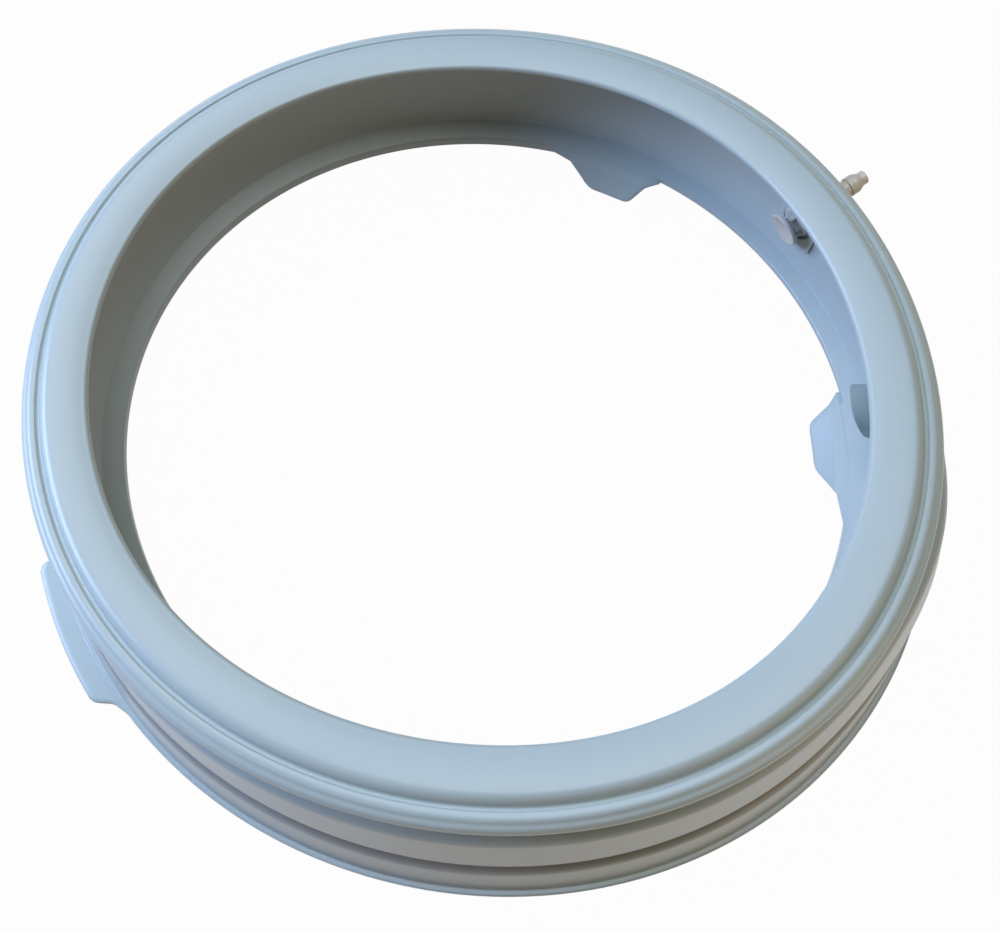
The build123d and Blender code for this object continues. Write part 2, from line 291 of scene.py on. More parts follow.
@dataclass(frozen=True)
class Frame:
    """Local frame of a fitting in the wall: x across, y up, z outwards along its axis."""

    origin: np.ndarray
    across: np.ndarray
    upwards: np.ndarray
    outwards: np.ndarray

    @classmethod
    def in_wall(cls, radius: float, azimuth: float, height: float, rise: float, lie: Lie) -> "Frame":
        """Frame at a point of the wall, with its origin carried along as the ring lies.

        Args:
            radius: Radius of the origin.
            azimuth: Azimuth of the origin and of the axis, in degrees.
            height: Height of the origin.
            rise: Angle by which the axis rises outwards, in degrees.
            lie: How the ring lies.

        Returns:
            The frame.
        """
        turn, tilt = np.radians(azimuth), np.radians(rise)
        level = np.array([np.cos(turn), np.sin(turn), 0.0])
        out = level * np.cos(tilt) + np.array([0, 0, np.sin(tilt)])
        across = np.array([-level[1], level[0], 0.0])
        origin = lie.place(polar_points(np.array(radius), np.array(azimuth), np.array(height)))
        return cls(origin, across, np.cross(out, across), out)

    def place(self, local: np.ndarray) -> np.ndarray:
        """Points given in this frame, in the row frame."""
        return self.origin + local @ np.stack([self.across, self.upwards, self.outwards])

    def revolve(self, profile: np.ndarray, count: int, closed: bool = True) -> Shell:
        """Surface of a profile turned about the frame's axis.

        Args:
            profile: Radius and distance along the axis, n by 2.
            count: Points round the axis.
            closed: Whether the profile is a loop; if not, its ends lie on the axis.

        Returns:
            The closed shell.
        """
        turn = np.linspace(0, 2 * np.pi, count, endpoint=False)
        radius, along = profile[:, :1], profile[:, 1:]
        local = np.stack(
            [radius * np.cos(turn), radius * np.sin(turn), np.broadcast_to(along, (len(profile), count))],
            axis=-1,
        )
        return grid_shell(self.place(local), closed_rows=closed)

    def cylinder(self, radius: float, start: float, end: float, count: int = 64) -> Shell:
        """Plain cylinder about the frame's axis between two distances."""
        turn = np.linspace(0, 2 * np.pi, count, endpoint=False)
        ring = np.stack([radius * np.cos(turn), radius * np.sin(turn)], axis=1)
        ends = np.array([start, end])
        local = np.concatenate(
            [np.broadcast_to(ring, (2, count, 2)), np.broadcast_to(ends[:, None, None], (2, count, 1))],
            axis=2,
        )
        return grid_shell(self.place(local), closed_rows=False)


@dataclass(frozen=True)
class SealSection:
    """Sizes of the ring's section, in millimetres, stacked from the rear rim."""

    rim_radius: float = 185.0
    rim_height: float = 4.5
    rim_width: float = 6.0
    rim_step: float = 2.2
    tub_depth: float = 8.0
    tub_ledge: float = 3.6
    lower_band: float = 18.5
    lower_taper: float = 4.6
    clamp_width: float = 5.5
    clamp_depth: float = 3.7
    clamp_step: float = 1.8
    upper_band: float = 26.0
    upper_taper: float = 5.8
    lower_band_round: float = 3.2
    upper_band_foot_round: float = 1.2
    upper_band_round: float = 4.0
    skirt: float = 3.6
    web: float = 4.5
    slot_width: float = 8.0
    slot_depth: float = 7.2
    bead: float = 5.0
    bead_reach: float = 5.2
    bead_arc: tuple[float, float] = (-88.0, 104.0)
    bead_dip: float = 0.5
    bead_dip_angle: float = 58.0
    bead_dip_spread: float = 13.0
    valley_foot: tuple[float, float] = (0.48, 0.62)
    valley_top: tuple[float, float] = (0.70, 1.08)
    valley_round: float = 0.9
    crown_rise: float = 7.7
    crown_inset: float = 13.9
    face_width: float = 17.5
    door_lip: float = 3.2
    door_lip_dip: float = 3.5
    door_lip_root: float = 2.4
    wall: float = 3.5
    wall_straight: float = 11.5
    wall_draft: float = 4.0
    rear_lip_height: float = 25.2
    rear_lip: float = 2.6
    rear_lip_reach: float = 7.9
    rear_lip_fall: float = 4.1
    rear_lip_rim: float = 4.3
    thin_setback: float = 1.5
    thin_sink: float = 0.04
    thin_round: float = 15.0
    edge: float = 0.75
    corner: float = 0.35

    @property
    def clamp_z(self) -> float:
        """Height of the clamp groove's lower side."""
        return self.rim_height + self.lower_band

    @property
    def clamp_top(self) -> float:
        """Height of the clamp groove's upper side."""
        return self.clamp_z + self.clamp_width

    @property
    def slot_z(self) -> float:
        """Height of the cabinet slot's lower side."""
        return self.clamp_top + self.upper_band

    @property
    def bead_z(self) -> float:
        """Height of the bead's centre."""
        return self.slot_z + self.slot_width + self.bead

    @property
    def lower_top_r(self) -> float:
        """Radius at the top of the lower band."""
        return self.rim_radius - self.rim_step - self.lower_taper

    @property
    def upper_top_r(self) -> float:
        """Radius at the top of the upper band."""
        return self.lower_top_r - self.clamp_step - self.upper_taper

    @property
    def slot_r(self) -> float:
        """Radius of the cabinet slot's floor."""
        return self.upper_top_r - self.slot_depth

    @property
    def bead_r(self) -> float:
        """Radius of the bead's centre."""
        return self.slot_r + self.bead_reach - self.bead

    @property
    def wall_r(self) -> float:
        """Radius of the inner wall."""
        return self.slot_r - self.wall

    @property
    def crease_r(self) -> float:
        """Radius where the inner wall meets the rear lip."""
        return self.wall_r - self.wall_draft

    @property
    def lip_r(self) -> float:
        """Radius of the rear lip's edge."""
        return self.crease_r - self.rear_lip_reach

    @property
    def lip_edge_z(self) -> float:
        """Height of the rear lip's upper edge."""
        return self.rear_lip_height - self.rear_lip_fall

    @property
    def lip_slope(self) -> float:
        """Fall of the rear lip for each millimetre of its reach."""
        return self.rear_lip_fall / self.rear_lip_reach

    @property
    def lip_drop(self) -> float:
        """Height of the rear lip's section, measured upright."""
        return self.rear_lip * np.hypot(1, self.lip_slope)

    @property
    def skirt_r(self) -> float:
        """Inner radius of the skirt behind the clamp groove."""
        return self.lower_top_r - self.clamp_depth - self.skirt

    @property
    def web_z(self) -> float:
        """Height of the channel's roof."""
        return self.slot_z - self.web

    @property
    def web_r(self) -> float:
        """Inner radius of the skirt at the channel's roof."""
        return self.upper_top_r + self.upper_taper * self.web / self.upper_band - self.skirt

    def rear_lip_points(self, thin: bool) -> tuple[np.ndarray, np.ndarray]:
        """Corners of the rear lip after the crease, and their radii.

        Args:
            thin: Whether this is the thin stretch, which has no turned-down edge.

        Returns:
            Four corners and four radii, the same number for both forms.
        """
        slope, drop = self.lip_slope, self.lip_drop
        if thin:
            edge_r = self.lip_r + self.thin_setback
            edge_z = self.lip_edge_z + self.thin_setback * slope
            under = edge_z - drop
            far = self.wall
            points = [
                (edge_r, edge_z),
                (edge_r, under),
                (edge_r + far / 2, under + far / 2 * slope - self.thin_sink),
                (edge_r + far, under + far * slope - self.thin_sink),
            ]
            return np.array(points), np.array([self.edge, self.edge, self.thin_round, self.thin_round])
        back_r = self.lip_r + self.rear_lip
        back_z = self.lip_edge_z + self.rear_lip * slope - drop
        foot_z = self.lip_edge_z - self.rear_lip_rim
        points = [(self.lip_r, self.lip_edge_z), (self.lip_r, foot_z), (back_r, foot_z), (back_r, back_z)]
        return np.array(points), np.array([self.edge, self.edge, self.edge, self.corner])

    def skirt_points(self) -> tuple[np.ndarray, np.ndarray]:
        """Corners from the channel over the rear rim and up the outside to the slot's floor, and radii."""
        slope, drop = self.lip_slope, self.lip_drop
        tub_r = self.rim_radius - self.rim_width
        clamp_r = self.lower_top_r - self.clamp_depth
        edge, corner = self.edge, self.corner
        rows = [
            (self.crease_r + self.wall, self.rear_lip_height + self.wall * slope - drop, corner),
            (self.slot_r, self.slot_z - self.wall_straight, corner),
            (self.slot_r, self.web_z, corner),
            (self.web_r, self.web_z, corner),
            (self.skirt_r, self.clamp_top, corner),
            (self.skirt_r, self.clamp_z, corner),
            (tub_r - self.tub_ledge, self.tub_depth, corner),
            (tub_r, self.tub_depth, corner),
            (tub_r, 0, corner),
            (self.rim_radius, 0, edge),
            (self.rim_radius, self.rim_height, edge),
            (self.rim_radius - self.rim_step, self.rim_height, corner),
            (self.lower_top_r, self.clamp_z, self.lower_band_round),
            (clamp_r, self.clamp_z, corner),
            (clamp_r, self.clamp_top, corner),
            (self.lower_top_r - self.clamp_step, self.clamp_top, self.upper_band_foot_round),
            (self.upper_top_r, self.slot_z, self.upper_band_round),
            (self.slot_r, self.slot_z, corner),
        ]
        table = np.array(rows)
        return table[:, :2], table[:, 2]

    def bead_points(self, count: int) -> np.ndarray:
        """Bead from the slot's floor round to the groove beside the face.

        The section is a circle, less a shallow dip along its upper outside: the radius drops by
        bead_dip * exp(-((angle - centre) / spread)^2).
        """
        angle = np.linspace(*np.radians(self.bead_arc), count)
        off = (angle - np.radians(self.bead_dip_angle)) / np.radians(self.bead_dip_spread)
        radius = self.bead - self.bead_dip * np.exp(-(off**2))
        centre = np.array([self.bead_r, self.bead_z])
        return centre + radius[:, None] * np.stack([np.cos(angle), np.sin(angle)], axis=1)

    def front_points(self) -> np.ndarray:
        """Groove, shoulder, face, door lip, its underside and the inner wall down to the crease."""
        opening_r = self.wall_r - self.face_width
        crown_z = self.bead_z + self.crown_rise
        lip_z = crown_z - self.door_lip_dip
        half = self.door_lip / 2
        bends = [
            (self.bead_r - inwards * self.bead, self.bead_z + upwards * self.bead)
            for inwards, upwards in (self.valley_foot, self.valley_top)
        ]
        valley = np.array([self.bead_points(2)[-1], *bends])
        groove = rounded(valley, np.array([self.valley_round]), count=6)
        crown = np.array([opening_r + self.crown_inset, crown_z])
        shoulder = tangent_arc(valley[2], valley[2] - valley[1], crown, 12)
        heading = self.end_heading(shoulder)
        face = tangent_arc(shoulder[-1], heading, np.array([opening_r + half, lip_z + half]), 16)
        angle = np.linspace(np.pi / 2, 3 * np.pi / 2, 10)
        edge = np.array([opening_r + half, lip_z]) + half * np.stack([np.cos(angle), np.sin(angle)], axis=1)
        root = np.array([self.wall_r, self.slot_z + self.slot_width - self.door_lip_root])
        under = tangent_arc(edge[-1], np.array([1.0, 0.25]), root, 12)
        bend = np.array([self.wall_r, self.slot_z - self.wall_straight])
        crease = np.array([self.crease_r, self.rear_lip_height])
        turn_in = tangent_arc(bend, np.array([0.0, -1.0]), crease, 10)
        return np.concatenate([groove[1:-1], shoulder, face[1:], edge[1:], under[1:], turn_in])

    @staticmethod
    def end_heading(points: np.ndarray) -> np.ndarray:
        """Heading at the end of an arc of even steps: the last step and half the turn beyond it."""
        steps = np.diff(points[-3:], axis=0)
        return unit(steps[1] + (steps[1] - steps[0]) / 2)

    def loop(self, thin: bool) -> np.ndarray:
        """Closed outline of the whole section.

        Args:
            thin: Whether the rear lip has its thin form.

        Returns:
            Radius and height of the outline's points, the same number for both forms.
        """
        front = self.front_points()
        bead = self.bead_points(26)
        lip, lip_radii = self.rear_lip_points(thin)
        skirt, skirt_radii = self.skirt_points()
        corners = np.concatenate([front[-2:], lip, skirt, bead[:1]])
        radii = np.concatenate([[self.corner], lip_radii, skirt_radii])
        return np.concatenate([front[:-2], rounded(corners, radii)[:-1], bead])


@dataclass
class SealRing:
    """Rubber ring with its tabs, ear, hose port and the seat of the nozzle."""

    section: SealSection
    lie: Lie
    azimuth_count: int = 400
    spray_azimuth: float = 28.8
    spray_half_arc: float = 27.6
    thin_ramp: float = 0.3
    tab_arc: float = 15.2
    tab_length: float = 13.0
    tab_thickness: float = 1.8
    tab_tilt: float = 35.0
    tab_inner_lean: float = 1.9
    tab_outer_lean: float = 4.8
    tab_corner: float = 2.5
    tab_run_on: float = 0.52
    tab_bend_rounds: tuple[float, float] = (1.0, 0.6)
    tab_flares: tuple[float, float] = (2.0, 6.0)
    ear_start: float = -162.3
    ear_arc: float = 19.0
    ear_tail_arc: float = 5.5
    ear_reach: float = 8.7
    ear_thickness: float = 2.8
    ear_corner: float = 4.0
    ear_lift: float = 0.02
    port_azimuth: float = -4.0
    port_drop: float = 13.5
    port_outer: float = 20.5
    port_bore: float = 13.0
    port_reach: float = 19.0
    port_cut: float = 35.0
    bridge_arcs: tuple[float, float] = (8.0, 9.0)
    bridge_margin: float = 2.0
    seat_radius: float = 8.0
    seat_margin: float = 0.5

    def ring_shell(self) -> Shell:
        """Section carried round the axis, with the thin form of the rear lip between the tabs.

        The outline at an azimuth is full + w * (thin - full), where w ramps from 0 to 1 at each tab.
        """
        full, thin = self.section.loop(False), self.section.loop(True)
        ends = self.spray_azimuth + np.array([-1, 1]) * self.spray_half_arc
        ramp = self.thin_ramp * np.linspace(-1, 1, 5)
        even = np.linspace(-180, 180, self.azimuth_count, endpoint=False)
        azimuth = np.unique(np.concatenate([even, ends[0] + ramp, ends[1] + ramp]))
        inside = self.spray_half_arc - np.abs(azimuth - self.spray_azimuth)
        weight = np.clip(0.5 + inside / (2 * self.thin_ramp), 0, 1)[:, None]
        radius = full[:, 0] + weight * (thin - full)[:, 0]
        height = full[:, 1] + weight * (thin - full)[:, 1]
        places = polar_points(radius, azimuth[:, None], height)
        return grid_shell(self.lie.place(places), closed_rows=True)

    def tab_shell(self, side: int) -> Shell:
        """Flap that hangs from the rear lip's edge at one end of the thin stretch.

        Its middle surface carries on the lip's slope for a while and bends down to the tip. Each row is a
        flat loop with round ends between two azimuths. Both flare before the bend and lean inwards after it,
        and the last rows follow the corner's circle.

        Args:
            side: 1 for the end at the greater azimuth, -1 for the other one.

        Returns:
            The closed flap.
        """
        part = self.section
        slope = np.array([-part.rear_lip_reach, -part.rear_lip_fall])
        edge = np.array([part.lip_r, part.lip_edge_z - 0.5 * self.tab_thickness])
        start = edge - 0.5 * slope - np.array([0, self.tab_thickness / 2])
        tilt = np.radians(self.tab_tilt)
        root = np.array([part.lip_r, part.lip_edge_z - part.rear_lip_rim / 2])
        tip = root - self.tab_length * np.array([np.cos(tilt), np.sin(tilt)])
        bend = edge + self.tab_run_on * slope
        corners = np.array([start, edge, bend, tip])
        path = rounded(corners, np.array(self.tab_bend_rounds), count=8, guard=0.15)
        length = np.concatenate([[0], np.cumsum(np.hypot(*np.diff(path, axis=0).T))])
        corner = length[-1] - self.tab_corner * np.cos(np.linspace(0, np.pi / 2, 9))
        reach = np.concatenate([length[:-1], np.linspace(length[-2], corner[0], 6)[1:-1], corner])
        reach[-1] -= 1e-3
        middle = np.stack([np.interp(reach, length, path[:, axis]) for axis in (0, 1)], axis=1)
        course = unit(np.gradient(middle, reach, axis=0))
        gap = np.clip((reach - corner[0]) / self.tab_corner, 0, 1)
        inset = np.degrees(self.tab_corner * (1 - np.sqrt(1 - gap**2)) / middle[:, 0])
        run = np.clip((part.lip_r - middle[:, 0]) / (part.lip_r - bend[0]), 0, 1)
        along = np.clip((bend[0] - middle[:, 0]) / (bend[0] - tip[0]), 0, 1)
        flare = (1 - run) ** 2
        near = self.spray_half_arc + self.tab_inner_lean * along + inset - self.tab_flares[0] * flare
        far = self.spray_half_arc + self.tab_arc
        far = far - self.tab_outer_lean * along - inset + self.tab_flares[1] * flare
        thick = self.tab_thickness / 2 * np.sqrt(1 - 0.75 * gap**6)
        turn = np.linspace(0, 2 * np.pi, 48, endpoint=False)
        across = np.sign(np.cos(turn)) * np.abs(np.cos(turn)) ** 0.25
        through = np.sign(np.sin(turn)) * np.abs(np.sin(turn)) ** 0.5
        centre, half = (near + far)[:, None] / 2, (far - near)[:, None] / 2
        azimuth = self.spray_azimuth + side * (centre + half * across)
        lift = thick[:, None] * through
        radius = middle[:, :1] + lift * course[:, 1:]
        height = middle[:, 1:] - lift * course[:, :1]
        return grid_shell(self.lie.place(polar_points(radius, azimuth, height)), closed_rows=False)

    def ear_shell(self) -> Shell:
        """Flat ear on the rear rim: a rounded strip whose reach swells, stays and runs out along the rim.

        The reach over the azimuth is a rounded corner at the start, a level stretch, and a run-out in an S.
        """
        part = self.section
        arc = np.degrees(self.ear_corner / part.rim_radius)
        swell = self.ear_start + arc * (1 - np.cos(np.linspace(0, np.pi / 2, 8)))
        level = np.linspace(swell[-1], self.ear_start + self.ear_arc, 24)[1:]
        tail = level[-1] + self.ear_tail_arc * np.linspace(0, 1, 12)[1:]
        azimuth = np.concatenate([swell, level, tail])
        into = np.clip((azimuth - self.ear_start) / arc, 0, 1)
        out = np.clip((azimuth - level[-1]) / self.ear_tail_arc, 0, 1)
        corner = self.ear_corner * (1 - np.sqrt(1 - (1 - into) ** 2))
        run = 1 - 0.6 * ease(out, 0.0, 0.45) - 0.4 * ease(out, 0.0, 1.0)
        reach = (self.ear_reach - corner) * run
        inner = part.rim_radius - part.rim_width / 2
        loop = rounded(
            np.array([(0, 0.5), (0, 0), (1, 0), (1, 1), (0, 1), (0, 0.5)], dtype=float),
            np.array([0.05, 0.1, 0.25, 0.05]),
            guard=0.02,
        )[:-1]
        width = part.rim_radius - inner + reach
        radius = inner + width[:, None] * loop[:, 0]
        height = self.ear_lift + (self.ear_thickness - self.ear_lift) * loop[:, 1]
        places = polar_points(radius, azimuth[:, None], np.broadcast_to(height, radius.shape))
        return grid_shell(self.lie.place(places), closed_rows=False)

    def port_frame(self) -> Frame:
        """Frame of the hose port, on the inner wall."""
        part = self.section
        return Frame.in_wall(part.wall_r, self.port_azimuth, part.slot_z - self.port_drop, 0.0, self.lie)

    def port_shell(self) -> Shell:
        """Tube of the hose port, with a mouth cut on the slant and a rounded edge round it.

        A point's distance along the axis at the mouth is -reach + (top - y) * tan(cut), with y the height in
        the tube, so the tube is longest at its top.
        """
        part = self.section
        outer = self.port_outer / 2
        turn = np.linspace(0, 2 * np.pi, 72, endpoint=False)
        edge = np.linspace(0, np.pi / 2, 6)
        radius = np.concatenate([[outer, outer], outer - part.edge * (1 - np.cos(edge)), [0.05]])
        lag = np.concatenate([[part.edge * 1.4], part.edge * (1 - np.sin(edge)), [0.0]])
        across, up = radius[:, None] * np.cos(turn), radius[:, None] * np.sin(turn)
        slant = -self.port_reach + (outer - up) * np.tan(np.radians(self.port_cut))
        along = slant.copy()
        along[1:] += lag[:, None]
        along[0] = (part.skirt_r + part.web_r) / 2 - part.wall_r + part.skirt / 2
        return grid_shell(self.port_frame().place(np.stack([across, up, along], axis=-1)), closed_rows=False)

    def bridge_shell(self, azimuth: float, arc: float, foot_z: float) -> Shell:
        """Rubber that closes the channel round a fitting: a four-sided outline carried over a short arc.

        Args:
            azimuth: Middle of the arc in degrees.
            arc: Length of the arc in degrees.
            foot_z: Height of the rubber's underside.

        Returns:
            The closed block.
        """
        part = self.section
        outline = np.array([
            (part.slot_r - part.wall / 2, part.web_z + part.web / 2),
            (part.crease_r + part.wall / 2, foot_z),
            (part.skirt_r + part.skirt / 2, foot_z),
            (part.web_r + part.skirt / 2, part.web_z + part.web / 2),
        ])
        turn = azimuth + arc * np.linspace(-0.5, 0.5, 9)[:, None]
        places = polar_points(outline[:, 0], turn, outline[:, 1])
        return grid_shell(self.lie.place(places), closed_rows=False)

    def build(self, nozzle: "SprayNozzle") -> bpy.types.Object:
        """Makes the whole moulding as one closed mesh.

        Args:
            nozzle: The nozzle, whose seat and hole are made here.

        Returns:
            The ring's object.
        """
        part = self.section
        seat = nozzle.frame()
        port = self.port_frame()
        ring = mesh_piece("seal_ring_moulding", self.ring_shell())
        nozzle_foot = part.slot_z - nozzle.drop - self.seat_radius - self.bridge_margin
        port_foot = part.slot_z - self.port_drop - self.port_outer / 2 - self.bridge_margin
        clear_r = self.seat_radius + self.seat_margin
        hole_r = nozzle.neck_radius + nozzle.neck_fit
        hole_end = nozzle.grip() + nozzle.neck_radius
        port_start = -self.port_reach - self.port_bore
        port_end = part.rim_radius - part.wall_r
        steps = [
            (self.tab_shell(1), Blend.ADD),
            (self.tab_shell(-1), Blend.ADD),
            (self.ear_shell(), Blend.ADD),
            (self.bridge_shell(nozzle.azimuth, self.bridge_arcs[0], nozzle_foot), Blend.ADD),
            (self.bridge_shell(self.port_azimuth, self.bridge_arcs[1], port_foot), Blend.ADD),
            (seat.cylinder(self.seat_radius, -nozzle.seat_rise, part.wall / 2), Blend.ADD),
            (seat.cylinder(clear_r, -2 * self.seat_radius, -nozzle.seat_rise), Blend.CUT),
            (self.port_shell(), Blend.ADD),
            (seat.cylinder(hole_r, -2 * nozzle.seat_rise, hole_end), Blend.CUT),
            (port.cylinder(self.port_bore / 2, port_start, port_end), Blend.CUT),
        ]
        for shell, blend in steps:
            join_shell(ring, mesh_piece("shell", shell), blend)
        smooth(ring, 32.0)
        return ring


@dataclass
class SprayNozzle:
    """Plastic nozzle pressed through the wall: deflector on posts, flange, neck and barbed spigot."""

    section: SealSection
    lie: Lie
    azimuth: float = 29.6
    drop: float = 9.5
    tilt: float = 15.0
    seat_rise: float = 1.0
    neck_radius: float = 4.2
    neck_fit: float = 0.1
    flange_radius: float = 6.8
    flange: float = 1.5
    deflector_radius: float = 7.5
    deflector: float = 1.6
    deflector_dish: float = 0.9
    deflector_rim: float = 1.2
    post_length: float = 4.2
    post_count: int = 3
    post_width: float = 2.4
    post_depth: float = 1.8
    post_inset: float = 1.0
    post_sink: float = 0.3
    collar_radius: float = 5.0
    collar_gap: float = 1.1
    collar_length: float = 1.3
    tube_radius: float = 3.7
    tube_length: float = 7.4
    barb_radius: float = 4.1
    barb_land: float = 3.6
    barb_taper: float = 2.6
    nose_radius: float = 2.9
    nose_length: float = 2.2
    water_bore: float = 4.0

    def frame(self) -> Frame:
        """Frame of the nozzle, on the inner wall."""
        return Frame.in_wall(
            self.section.wall_r, self.azimuth, self.section.slot_z - self.drop, self.tilt, self.lie
        )

    def grip(self) -> float:
        """Length of the neck from the inner wall to the outside of the skirt."""
        part = self.section
        outside = part.upper_top_r + part.upper_taper * self.drop / part.upper_band
        return (outside - part.wall_r) / np.cos(np.radians(self.tilt))

    def body_shell(self) -> Shell:
        """Flange, neck, collar, tube, barb and nose as one rounded profile turned about the axis."""
        face = -self.seat_rise - self.flange
        collar = self.grip() + self.collar_gap
        tube = collar + self.collar_length
        barb = tube + self.tube_length
        land = barb + self.barb_land
        nose = land + self.barb_taper
        tip = nose + self.nose_length
        bore = self.water_bore / 2
        rows = [
            (bore, (face + tip) / 2, 0.0),
            (bore, face, 0.2),
            (self.flange_radius, face, 0.4),
            (self.flange_radius, -self.seat_rise, 0.3),
            (self.neck_radius, -self.seat_rise, 0.2),
            (self.neck_radius, collar, 0.2),
            (self.collar_radius, collar, 0.3),
            (self.tube_radius, tube, 0.3),
            (self.tube_radius, barb, 0.2),
            (self.barb_radius, barb, 0.3),
            (self.barb_radius, land, 1.8),
            (self.nose_radius, nose, 0.6),
            (self.nose_radius, tip, 0.4),
            (bore, tip, 0.2),
            (bore, (face + tip) / 2, 0.0),
        ]
        table = np.array(rows)
        outline = rounded(table[:, :2], table[1:-1, 2], guard=0.05)[:-1]
        return self.frame().revolve(outline, 72)

    def deflector_shell(self) -> Shell:
        """Dished disc: a flat back and a raised rim, with an arc from the rim to the middle."""
        back = -self.seat_rise - self.flange - self.post_length
        front = back - self.deflector
        inner = self.deflector_radius - self.deflector_rim
        dish = tangent_arc(
            np.array([0.02, front + self.deflector_dish]), np.array([1.0, 0.0]), np.array([inner, front]), 10
        )
        corners = np.array([
            dish[-2], dish[-1], (self.deflector_radius, front), (self.deflector_radius, back), (0.02, back)
        ])
        rim = rounded(corners, np.array([0.25, 0.35, 0.35]), guard=0.05)
        return self.frame().revolve(np.concatenate([dish[:-2], rim]), 72, closed=False)

    def post_shell(self, number: int) -> Shell:
        """One post between the deflector and the flange: a rounded box along the axis.

        Args:
            number: Which of the evenly spaced posts, from 0.

        Returns:
            The closed post.
        """
        back = -self.seat_rise - self.flange - self.post_length
        turn = np.linspace(0, 2 * np.pi, 32, endpoint=False)
        loop = np.stack([np.cos(turn), np.sin(turn)], axis=1)
        loop = np.sign(loop) * np.abs(loop) ** 0.4 * np.array([self.post_depth, self.post_width]) / 2
        loop[:, 0] += self.flange_radius - self.post_inset - self.post_depth / 2
        angle = np.pi / 2 + 2 * np.pi * number / self.post_count
        spin = np.array([[np.cos(angle), np.sin(angle)], [-np.sin(angle), np.cos(angle)]])
        ends = np.array([back - self.post_sink, back + self.post_length + self.post_sink])
        plan = np.broadcast_to(loop @ spin, (2, len(loop), 2))
        local = np.concatenate([plan, np.broadcast_to(ends[:, None, None], (2, len(loop), 1))], axis=2)
        return grid_shell(self.frame().place(local), closed_rows=False)

    def build(self) -> bpy.types.Object:
        """Makes the nozzle as one closed mesh."""
        nozzle = mesh_piece("spray_nozzle_moulding", self.body_shell())
        shells = [self.deflector_shell()] + [self.post_shell(i) for i in range(self.post_count)]
        for shell in shells:
            join_shell(nozzle, mesh_piece("shell", shell), Blend.ADD)
        smooth(nozzle, 40.0)
        return nozzle


def srgb(red: int, green: int, blue: int) -> tuple[float, float, float, float]:
    """Colour for a shader socket from the red, green and blue of a display, 0 to 255."""
    value = np.array([red, green, blue]) / 255
    linear = np.where(value <= 0.04045, value / 12.92, ((value + 0.055) / 1.055) ** 2.4)
    return (*linear.tolist(), 1.0)


